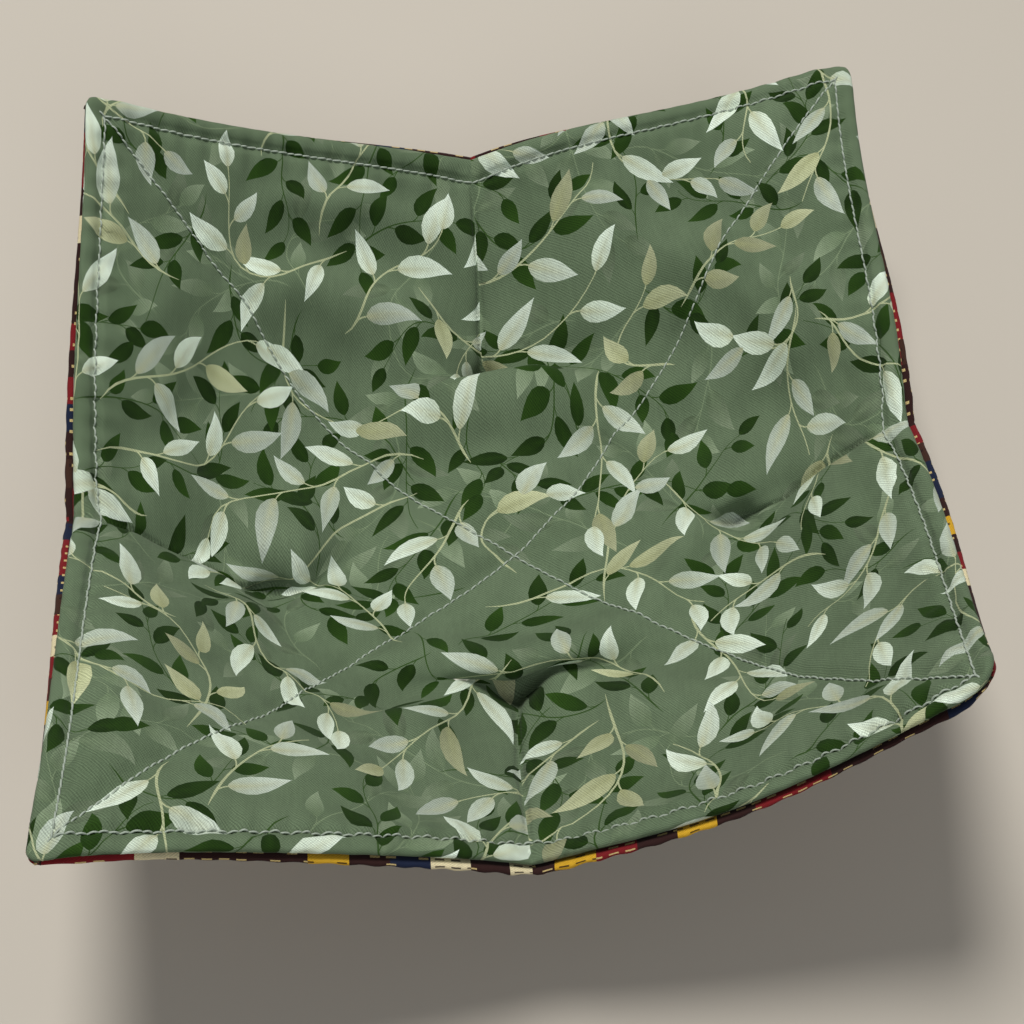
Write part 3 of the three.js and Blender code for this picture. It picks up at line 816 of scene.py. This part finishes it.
def sprigs(made, kind, random):
    """Scatters sprigs of one kind over the cloth: curved stems with leaves to both sides and at the end."""
    wanted, room, length, width, stem_width, two_halves = KINDS[kind]
    centres = np.zeros((0, 2))
    leaves, stems = [], []
    t = np.linspace(0, 1, STEM_STEPS)
    taper = (1.15 - 0.75 * t) * np.clip(0.15 + 8 * t, 0, 1)
    for _ in range(SPRIG_TRIES):
        if len(centres) >= wanted:
            break
        stem = length * random.uniform(*STEM_LENGTHS)
        turn = random.uniform(0, FULL_TURN) + random.uniform(*BENDS) * t
        turn = turn + random.uniform(*WAVES) * np.sin(FULL_TURN * t)
        reach = PRINT_HALF + PRINT_MARGIN
        starts = random.uniform(-reach, reach, (PLACE_TRIES, 2))
        emptiest = np.linalg.norm(starts[:, None] - centres[None], axis=-1).min(1, initial=FAR).argmax()
        path = walk(starts[emptiest], turn, stem, t)
        count = int(round(stem / (length * LEAF_WAY)))
        side = random.choice([-1, 1])
        found = []
        for k in range(count + 1):
            inner = k < count
            at = FIRST_LEAF + (1 - FIRST_LEAF) * k / count + (random.uniform(*LEAF_JITTER) if inner else 0)
            size = random.uniform(*LEAF_SIZES) * (1.05 - 0.35 * abs(at - 0.45))
            lean = random.uniform(*LEAF_LEANS) * side if inner else random.uniform(*END_LEANS)
            side = -side
            root = np.array([np.interp(at, t, path[:, 0]), np.interp(at, t, path[:, 1])])
            start_turn = np.interp(at, t, turn)
            stalk_turn = start_turn + lean * np.linspace(0.35, 1, STALK_STEPS)
            stalk_length = length * (STALK if inner else END_STALK)
            stalk = walk(root, stalk_turn, stalk_length, np.linspace(0, 1, STALK_STEPS))
            heading = start_turn + lean
            found.append((stalk, stalk_turn, heading, length * size, width * (0.55 + 0.45 * size)))
        middle = np.array([
            stalk[-1] + 0.5 * long * np.array([math.cos(heading), math.sin(heading)])
            for stalk, _, heading, long, _ in found
        ])
        if np.abs(middle).max(1).min() > PRINT_HALF:
            continue
        distance = np.linalg.norm(middle[:, None] - centres[None], axis=-1).min(1, initial=FAR)
        free = distance > room
        if free.mean() < LEAST_FREE:
            continue
        centres = np.concatenate([centres, middle[free]])
        cream = kind == "pale" and random.uniform() < CREAM_SPRIGS
        tones = TONES["cream" if cream else kind]
        stems.append((path, turn, stem_width / 2 * taper, tones))
        for (stalk, stalk_turn, heading, long, wide), is_free in zip(found, free):
            if is_free:
                stems.append((stalk, stalk_turn, np.full(STALK_STEPS, stem_width * 0.3), tones))
                cream = kind == "pale" and random.uniform() < CREAM_LEAVES
                leaf_tones = TONES["cream"] if cream else tones
                bow = random.uniform(*BOWS)
                light = random.uniform(*LIGHTS)
                leaves.append((stalk[-1], heading, long, wide, bow, leaf_tones, light, two_halves))
    for stem in stems:
        made.line(*stem)
    for leaf in leaves:
        made.leaf(*leaf)


def unslid(u, v):
    """Takes places on the cut cloth to the square, where each dart is a line."""
    p, q = np.abs(u), np.abs(v)
    a, b = p, q
    for _ in range(UNSLIDE_ROUNDS):
        take_a = DART_HALF_WIDTH * np.clip((b - TIP) / DART_DEPTH, 0, 1)
        take_b = DART_HALF_WIDTH * np.clip((a - TIP) / DART_DEPTH, 0, 1)
        a = np.where(p < TOPSTITCH, np.clip((p - take_a) / (1 - take_a / TOPSTITCH), 0, None), p)
        b = np.where(q < TOPSTITCH, np.clip((q - take_b) / (1 - take_b / TOPSTITCH), 0, None), q)
    return np.where(u < 0, -a, a), np.where(v < 0, -b, b)


def inside_of(outline, x, y):
    """Which places lie inside an outline."""
    found = np.zeros(len(x), bool)
    for (x0, y0), (x1, y1) in zip(outline, np.roll(outline, -1, 0)):
        if y0 != y1:
            crosses = (y0 > y) != (y1 > y)
            found ^= crosses & (x < (x1 - x0) * (y - y0) / (y1 - y0) + x0)
    return found


UNSLIDE_ROUNDS = 5
CUT_MARGIN, MERGE_WAY = 0.01, 1e-3


def cut_by(outlines, lines):
    """Cuts a grid along outlines. Gives places, triangles and the uppermost outline on each triangle."""
    n = len(lines)
    x, y = grid_of(lines)
    places = [np.stack([x, y], -1).reshape(-1, 2)]
    index, _ = grid_faces(n)
    zero = int(np.argmin(np.abs(lines)))
    edges = [np.stack([row[:-1], row[1:]], -1) for row in (index[zero], index[:, zero])]
    count = n * n
    limit = lines[-1] - CUT_MARGIN
    square = [np.clip(np.stack(unslid(o[:, 0], o[:, 1]), -1), -limit, limit) for o in outlines]
    for outline in square:
        here = np.arange(count, count + len(outline))
        places.append(outline)
        edges.append(np.stack([here, np.roll(here, -1)], -1))
        count += len(outline)
    places = np.concatenate(places)
    edges = np.concatenate(edges)
    made = delaunay_2d_cdt([Vector(p) for p in places], edges.tolist(), [], 0, MERGE_WAY, False)
    places = np.array([tuple(v) for v in made[0]])
    faces = np.array(made[2])
    middle = places[faces].mean(1)
    order = np.argsort(middle[:, 0])
    ranked = middle[order, 0]
    owner = np.full(len(faces), -1)
    for k, outline in enumerate(square):
        first, last = np.searchsorted(ranked, (outline[:, 0].min(), outline[:, 0].max()))
        near = order[first:last]
        owner[near[inside_of(outline, middle[near, 0], middle[near, 1])]] = k
    return places, faces, owner


# Materials

class Nodes:
    """Short calls for building a material's or a world's nodes."""

    def __init__(self, tree):
        self.tree = tree

    def link(self, source, target):
        if isinstance(source, bpy.types.NodeSocket):
            self.tree.links.new(source, target)
        else:
            target.default_value = source

    def feed(self, node, inputs):
        for key, value in inputs.items():
            self.link(value, node.inputs[key])

    def node(self, kind, inputs=None, **settings):
        made = self.tree.nodes.new(kind)
        for key, value in settings.items():
            setattr(made, key, value)
        self.feed(made, inputs or {})
        return made

    def math(self, operation, a, b=0.0):
        return self.node("ShaderNodeMath", {0: a, 1: b}, operation=operation).outputs[0]

    def add(self, a, b):
        return self.math("ADD", a, b)

    def sub(self, a, b):
        return self.math("SUBTRACT", a, b)

    def mul(self, a, b):
        return self.math("MULTIPLY", a, b)

    def div(self, a, b):
        return self.math("DIVIDE", a, b)

    def mix(self, factor, a, b):
        inputs = {0: factor, 6: a, 7: b}
        return self.node("ShaderNodeMix", inputs, data_type="RGBA", clamp_factor=True).outputs[2]

    def scale_colour(self, colour, factor):
        return self.node("ShaderNodeVectorMath", {0: colour, 3: factor}, operation="SCALE").outputs[0]

    def combine(self, x, y, z=0.0):
        return self.node("ShaderNodeCombineXYZ", {0: x, 1: y, 2: z}).outputs[0]

    def random(self, vector):
        return self.node("ShaderNodeTexWhiteNoise", {0: vector}, noise_dimensions="3D").outputs["Value"]

    def noise(self, vector, scale, detail=2.0, roughness=0.5):
        inputs = {"Vector": vector, "Scale": scale, "Detail": detail, "Roughness": roughness}
        return self.node("ShaderNodeTexNoise", inputs).outputs[0]

    def bump(self, height, strength, distance, shader):
        inputs = {"Height": height, "Strength": strength, "Distance": distance * MM}
        self.link(self.node("ShaderNodeBump", inputs).outputs[0], shader.inputs["Normal"])


def new_material(name):
    material = bpy.data.materials.new(name)
    material.use_nodes = True
    shader = material.node_tree.nodes["Principled BSDF"]
    return material, Nodes(material.node_tree), shader


# Spacing of the twill and of the yarns, and the share that each has in the height of the weave
TWILL, TWILL_SHARE = 0.6, 0.2
YARN, YARN_SHARE = 0.64, 0.3


def weave(n, u, v):
    """The height of a fine twill, from 0 to 1, with uneven yarns."""
    wobble = n.mul(n.noise(n.combine(n.mul(u, 0.35), n.mul(v, 0.35)), 1.0, 2.0), 0.5)
    diagonal = n.math("SINE", n.mul(n.add(n.add(u, v), wobble), 2 * math.pi / (TWILL * math.sqrt(2))))
    across = n.math("SINE", n.mul(n.add(u, wobble), 2 * math.pi / YARN))
    along = n.math("SINE", n.mul(n.sub(v, wobble), 2 * math.pi / YARN))
    height = n.add(n.mul(diagonal, TWILL_SHARE), n.mul(n.mul(across, along), YARN_SHARE))
    return n.add(height, 0.5)


def flat_pattern(n):
    """The place on the flat cloth, in millimetres, as a vector and as two numbers."""
    vector = n.node("ShaderNodeUVMap", uv_map="pattern").outputs[0]
    u, v, _ = n.node("ShaderNodeSeparateXYZ", {0: vector}).outputs
    return vector, u, v


def finish_cotton(n, shader, colour, u, v):
    """Weave in the colour, as painted shade between the yarns, and in the bump, and the dry sheen of printed
    cotton.
    """
    height = weave(n, u, v)
    slub = n.noise(n.combine(n.mul(u, 0.9), n.mul(v, 0.12)), 1.0, 3.0)
    # Painted shade: the colour is darker where the weave is low, between the yarns; slubs and flecks add tone
    # that differs at random
    shade = n.add(0.6, n.mul(height, 0.7))
    shade = n.add(shade, n.mul(n.sub(slub, 0.5), 0.22))
    fleck = n.noise(n.combine(u, v), 2.6, 1.0)
    shade = n.add(shade, n.mul(n.sub(fleck, 0.5), 0.5))
    colour = n.scale_colour(colour, shade)
    n.bump(height, 0.35, 0.12, shader)
    roughness = n.sub(0.98, n.mul(height, 0.16))
    n.feed(shader, {"Base Color": colour, "Roughness": roughness, "Specular IOR Level": 0.12})
    n.feed(shader, {"Sheen Weight": 0.05, "Sheen Roughness": 0.5})


def lining_material():
    """Sage cotton under a print, which the mesh holds as a colour."""
    material, n, shader = new_material("sage_leaf_cotton")
    vector, u, v = flat_pattern(n)
    cloud = n.noise(vector, 0.035, 3.0)
    ground = n.mix(cloud, srgb(80, 97, 72), srgb(106, 123, 97))
    ground = n.scale_colour(ground, n.add(0.88, n.mul(n.noise(vector, 0.15, 2.0), 0.24)))
    paint = n.node("ShaderNodeAttribute", attribute_name="print")
    wash = n.add(0.9, n.mul(n.noise(vector, 0.5, 3.0), 0.2))
    colour = n.mix(paint.outputs["Alpha"], ground, n.scale_colour(paint.outputs["Color"], wash))
    finish_cotton(n, shader, colour, u, v)
    return material


# The outer print: blocks of colour with the share of the random values at which each starts, and short dashes
BLOCK_LONG, BLOCK_HIGH = 9.0, 7.0
BLOCK_TONES = (
    (0.0, srgb(46, 26, 24)),
    (0.3, srgb(116, 28, 32)),
    (0.54, srgb(26, 34, 56)),
    (0.7, srgb(214, 202, 164)),
    (0.82, srgb(200, 156, 42)),
    (0.92, srgb(60, 38, 30)),
)
PALE_FROM = 0.7
DASH_WAY, DASH_ROW = 3.6, 2.8
DASH_HALF_LONG, DASH_HALF_HIGH = 0.3, 0.13
DASHES_LEFT_OUT = 0.45


def outer_material():
    """Dark cotton with bands of plain colour blocks and short dashes."""
    material, n, shader = new_material("dark_block_cotton")
    _, u, v = flat_pattern(n)
    band = n.math("FLOOR", n.div(v, BLOCK_HIGH))
    offset = n.random(n.combine(band, 3.0, 1.0))
    along = n.add(n.div(u, BLOCK_LONG), n.mul(offset, 7.0))
    block = n.math("FLOOR", along)
    value = n.random(n.combine(block, band, 5.0))
    ramp = n.node("ShaderNodeValToRGB")
    ramp.color_ramp.interpolation = "CONSTANT"
    elements = ramp.color_ramp.elements
    elements[0].position, elements[0].color = BLOCK_TONES[0]
    elements[1].position, elements[1].color = BLOCK_TONES[1]
    for position, shade in BLOCK_TONES[2:]:
        made = elements.new(position)
        made.color = shade
    n.link(value, ramp.inputs[0])
    colour = ramp.outputs[0]
    across, up = n.div(u, DASH_WAY), n.div(v, DASH_ROW)
    off_x = n.math("ABSOLUTE", n.sub(n.math("FRACT", across), 0.5))
    off_y = n.math("ABSOLUTE", n.sub(n.math("FRACT", up), 0.5))
    dash_value = n.random(n.combine(n.math("FLOOR", across), n.math("FLOOR", up), 9.0))
    dash = n.mul(n.math("LESS_THAN", off_x, DASH_HALF_LONG), n.math("LESS_THAN", off_y, DASH_HALF_HIGH))
    dash = n.mul(dash, n.math("GREATER_THAN", dash_value, DASHES_LEFT_OUT))
    dash_tone = n.mix(n.math("GREATER_THAN", value, PALE_FROM), srgb(198, 176, 120), srgb(40, 26, 24))
    colour = n.mix(n.mul(dash, 0.9), colour, dash_tone)
    finish_cotton(n, shader, colour, u, v)
    return material


def batting_material():
    """Off-white needled cotton."""
    material, n, shader = new_material("cotton_batting")
    place_of = n.node("ShaderNodeTexCoord").outputs["Object"]
    fibres = n.noise(place_of, 900.0, 6.0, 0.7)
    specks = n.noise(place_of, 240.0, 2.0)
    colour = n.mix(fibres, srgb(226, 220, 202), srgb(246, 243, 232))
    colour = n.mix(n.math("GREATER_THAN", specks, 0.71), colour, srgb(176, 160, 128))
    n.bump(fibres, 0.6, 0.4, shader)
    roughness = n.add(0.85, n.mul(fibres, 0.15))
    n.feed(shader, {"Base Color": colour, "Roughness": roughness, "Sheen Weight": 0.3})
    return material


def thread_material():
    """Pale twisted sewing thread."""
    material, n, shader = new_material("pale_thread")
    place_of = n.node("ShaderNodeTexCoord").outputs["Object"]
    twist = n.noise(place_of, 3200.0, 2.0)
    tone = n.noise(place_of, 120.0, 2.0)
    colour = n.mix(twist, srgb(122, 135, 120), srgb(190, 200, 187))
    colour = n.mix(n.mul(tone, 0.3), colour, srgb(136, 149, 132))
    n.bump(twist, 0.5, 0.08, shader)
    roughness = n.add(0.5, n.mul(twist, 0.25))
    n.feed(shader, {"Base Color": colour, "Roughness": roughness, "Sheen Weight": 0.2})
    return material


# The pieces

LINE_STEPS = 721
BOBBIN_SKIP, BOBBIN_DEPTH = 6, 1.6
# What the upper of two crossing threads has more, on the face and on the hidden side
CROSSING_LIFT, CROSSING_DROP = 0.1, 0.5
CROSS_STITCH_SEED, EDGE_STITCH_SEED = 3, 9
DART_STEPS, DART_START, DART_THREAD_DEPTH = 24, 4, 0.9
EDGE_STITCH_LIFT = 0.16
SEAM_BEHIND, SEAM_THREAD_RADIUS = 0.8, 0.08


def add(piece, node):
    """Lets a piece stand for a solid: attaches it to the root and hides the solid."""
    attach(piece, "root")
    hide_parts(node)
    return piece


def build():
    sage, blocks = lining_material(), outer_material()
    fleece, thread = batting_material(), thread_material()
    coarse = np.linspace(-TOPSTITCH, TOPSTITCH, CELLS + 1)
    lines = face_lines()
    x, y = grid_of(lines)
    inner = slice(len(BAND), len(lines) - len(BAND))

    laid = settle_lining(coarse)
    smooth = place(LINING, x, y, np.full_like(x, FACE))
    smooth[inner, inner] = resampled(laid, coarse, lines[inner])
    depth = drawn_down(x, y, LINING_SEED, LINING_GROOVE, LINING_PIT)
    depth[inner, inner] += rumpled(lines[inner])
    lining_face = smooth - normals_of(smooth) * depth[..., None]
    puffed = np.clip((TOPSTITCH - np.maximum(abs(x), abs(y))) / OUTER_PUFF_REACH, 0, 1) * OUTER_PUFF
    outer_smooth = place(OUTER, x, y, FACE + puffed)
    outer_depth = drawn_down(x, y, OUTER_SEED, OUTER_GROOVE, 0.0)
    outer_pad_depth = drawn_down(x, y, OUTER_SEED, OUTER_GROOVE, OUTER_PAD_PIT)
    outer_face = outer_smooth + normals_of(outer_smooth) * outer_depth[..., None]

    lining = lining_cloth("lining_cloth", lining_face, lines, depth, sage)
    add(lining, "lining_fabric")
    outer = outer_cloth("outer_cloth", outer_face, lines, outer_depth, blocks)
    add(outer, "outer_fabric")
    # The battings end under the topstitching and have every second line
    padded = slice(2, -2, 2)
    for name, face, deep, side, node in (
        ("lining_pad", lining_face, depth, LINING, "lining_batting"),
        ("outer_pad", outer_face, outer_pad_depth, OUTER, "outer_batting"),
    ):
        piece = pad(name, face[padded, padded], lines[padded], deep[padded, padded], fleece, side)
        add(piece, node)

    row = HALF - STITCH_INSET
    t = np.linspace(-row, row, LINE_STEPS)
    sides = [(t, 0 * t + row), (0 * t + row, -t), (-t, 0 * t - row), (0 * t - row, t)]
    round_x = np.concatenate([s[0][:-1] for s in sides] + [sides[0][0][:1]])
    round_y = np.concatenate([s[1][:-1] for s in sides] + [sides[0][1][:1]])
    threads = {"lining": [], "outer": []}
    t = np.linspace(-CROSS_END, CROSS_END, LINE_STEPS)
    few = t[::BOBBIN_SKIP]
    for panel, face_points, smooth_points, deep, side in (
        ("lining", lining_face, smooth, depth, LINING),
        ("outer", outer_face, outer_smooth, outer_depth, OUTER),
    ):
        face = Face(face_points, lines, side)
        undrawn = Face(smooth_points, lines, side)
        drawn = Face(np.repeat(deep[..., None], 3, -1), lines, side)
        sewn = threads[panel]
        for k, slope in enumerate((1, -1)):
            name = f"{panel}_cross_stitches_{k + 1}"
            piece = stitches(name, face, t, slope * t, thread, CROSSING_LIFT * k, CROSS_STITCH_SEED + k)
            sewn.append(add(piece, f"{panel}_cross_needle_thread_{k + 1}"))
            name = f"{panel}_cross_bobbin_{k + 1}"
            piece = plain_thread(name, face, few, slope * few, BOBBIN_DEPTH + CROSSING_DROP * k, thread)
            sewn.append(add(piece, f"{panel}_cross_bobbin_thread_{k + 1}"))
        for name, ux, uy in (("back", 0, 1), ("right", 1, 0), ("front", 0, -1), ("left", -1, 0)):
            r = np.linspace(TIP + DART_START, TOPSTITCH, DART_STEPS)
            below = drawn.at(ux * r, uy * r)[0][:, 0] + DART_THREAD_DEPTH
            piece = plain_thread(f"{panel}_dart_seam_{name}", undrawn, ux * r, uy * r, below, thread)
            sewn.append(add(piece, f"{panel}_dart_thread_{name}"))
        name = "topstitch_needle" if panel == "lining" else "topstitch_bobbin"
        line = f"{name}_stitches", face, round_x, round_y
        piece = stitches(*line, thread, EDGE_STITCH_LIFT, EDGE_STITCH_SEED, closed=True)
        sewn.append(add(piece, f"{name}_thread"))

    i, j, ex, ey = ring_of(len(lines))
    seam_at = HALF - EDGE_ROLL - SEAM_BEHIND
    seam_x = np.where(ex == 0, lines[i], ex * seam_at)
    seam_y = np.where(ey == 0, lines[j], ey * seam_at)
    seam = place(OUTER, seam_x, seam_y, np.full_like(seam_x, SEAM_SHIFT))
    up = np.tile([0.0, 0.0, 1.0], (len(seam), 1))
    add(tube("edge_seam", seam, up, SEAM_THREAD_RADIUS, thread, True), "edge_seam_thread")

    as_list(threads["lining"])
    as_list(threads["outer"])


# The stage

FOCAL_PIXELS = 1850.0
IMAGE_PIXELS = 1024.0
SENSOR = 36.0
CAMERA_TILT = math.radians(57.2)
CAMERA_DISTANCE = 489.1
CAMERA_SIDE, CAMERA_UP = 3.5, 12.1
COZY_YAW = math.radians(4.36)
SKY_LIGHT, SKY_SEEN = 0.15, 0.55
FLOOR_HALF, FLOOR_DROP = 4.0, 0.0003
AIM = (0, 0, 0.03)


def add_camera():
    data = bpy.data.cameras.new("camera")
    data.sensor_width = SENSOR
    data.lens = FOCAL_PIXELS / IMAGE_PIXELS * SENSOR
    data.clip_start, data.clip_end = 0.01, 20
    ahead = Vector((0, math.cos(CAMERA_TILT), -math.sin(CAMERA_TILT)))
    up = Vector((0, math.sin(CAMERA_TILT), math.cos(CAMERA_TILT)))
    right = Vector((1, 0, 0))
    eye = (-ahead * CAMERA_DISTANCE + up * CAMERA_UP + right * CAMERA_SIDE) * MM
    axes = Matrix((right, up, -ahead)).transposed().to_4x4()
    turn = Matrix.Translation((CROSS_AT[0] * MM, CROSS_AT[1] * MM, 0)) @ Matrix.Rotation(-COZY_YAW, 4, "Z")
    camera = linked("camera", data)
    camera.matrix_world = turn @ Matrix.Translation(eye) @ axes
    bpy.context.scene.camera = camera


def add_light(name, where, size, power, colour):
    data = bpy.data.lights.new(name, "AREA")
    data.shape = "DISK"
    data.size, data.energy, data.color = size, power, colour
    lamp = linked(name, data)
    lamp.location = where
    lamp.rotation_euler = (Vector(AIM) - Vector(where)).to_track_quat("-Z", "Y").to_euler()


def build_stage():
    mesh = bpy.data.meshes.new("floor")
    r = FLOOR_HALF
    mesh.from_pydata([(-r, -r, 0), (r, -r, 0), (r, r, 0), (-r, r, 0)], [], [(0, 1, 2, 3)])
    floor = linked("floor", mesh)
    floor.location.z = -FLOOR_DROP
    material, n, shader = new_material("pale_floor")
    n.feed(shader, {"Base Color": srgb(186, 179, 167), "Roughness": 0.7})
    mesh.materials.append(material)
    world = bpy.data.worlds.new("soft_light")
    bpy.context.scene.world = world
    world.use_nodes = True
    n = Nodes(world.node_tree)
    sky = world.node_tree.nodes["Background"]
    sky.inputs[0].default_value = (0.94, 0.96, 1.0, 1)
    rays = n.node("ShaderNodeLightPath").outputs
    seen = n.add(n.add(rays["Is Camera Ray"], rays["Is Glossy Ray"]), rays["Is Transmission Ray"])
    n.link(n.add(SKY_LIGHT, n.mul(n.math("MINIMUM", seen, 1.0), SKY_SEEN - SKY_LIGHT)), sky.inputs[1])
    add_light("window", (-0.15, 0.5, 1.38), 0.5, 19.0, (1.0, 0.98, 0.95))
    add_light("fill", (0.2, -1.1, 1.0), 0.7, 5.8, (0.97, 0.99, 1.0))


build()
build_stage()
add_camera()
bpy.context.scene.view_settings.view_transform = "Standard"
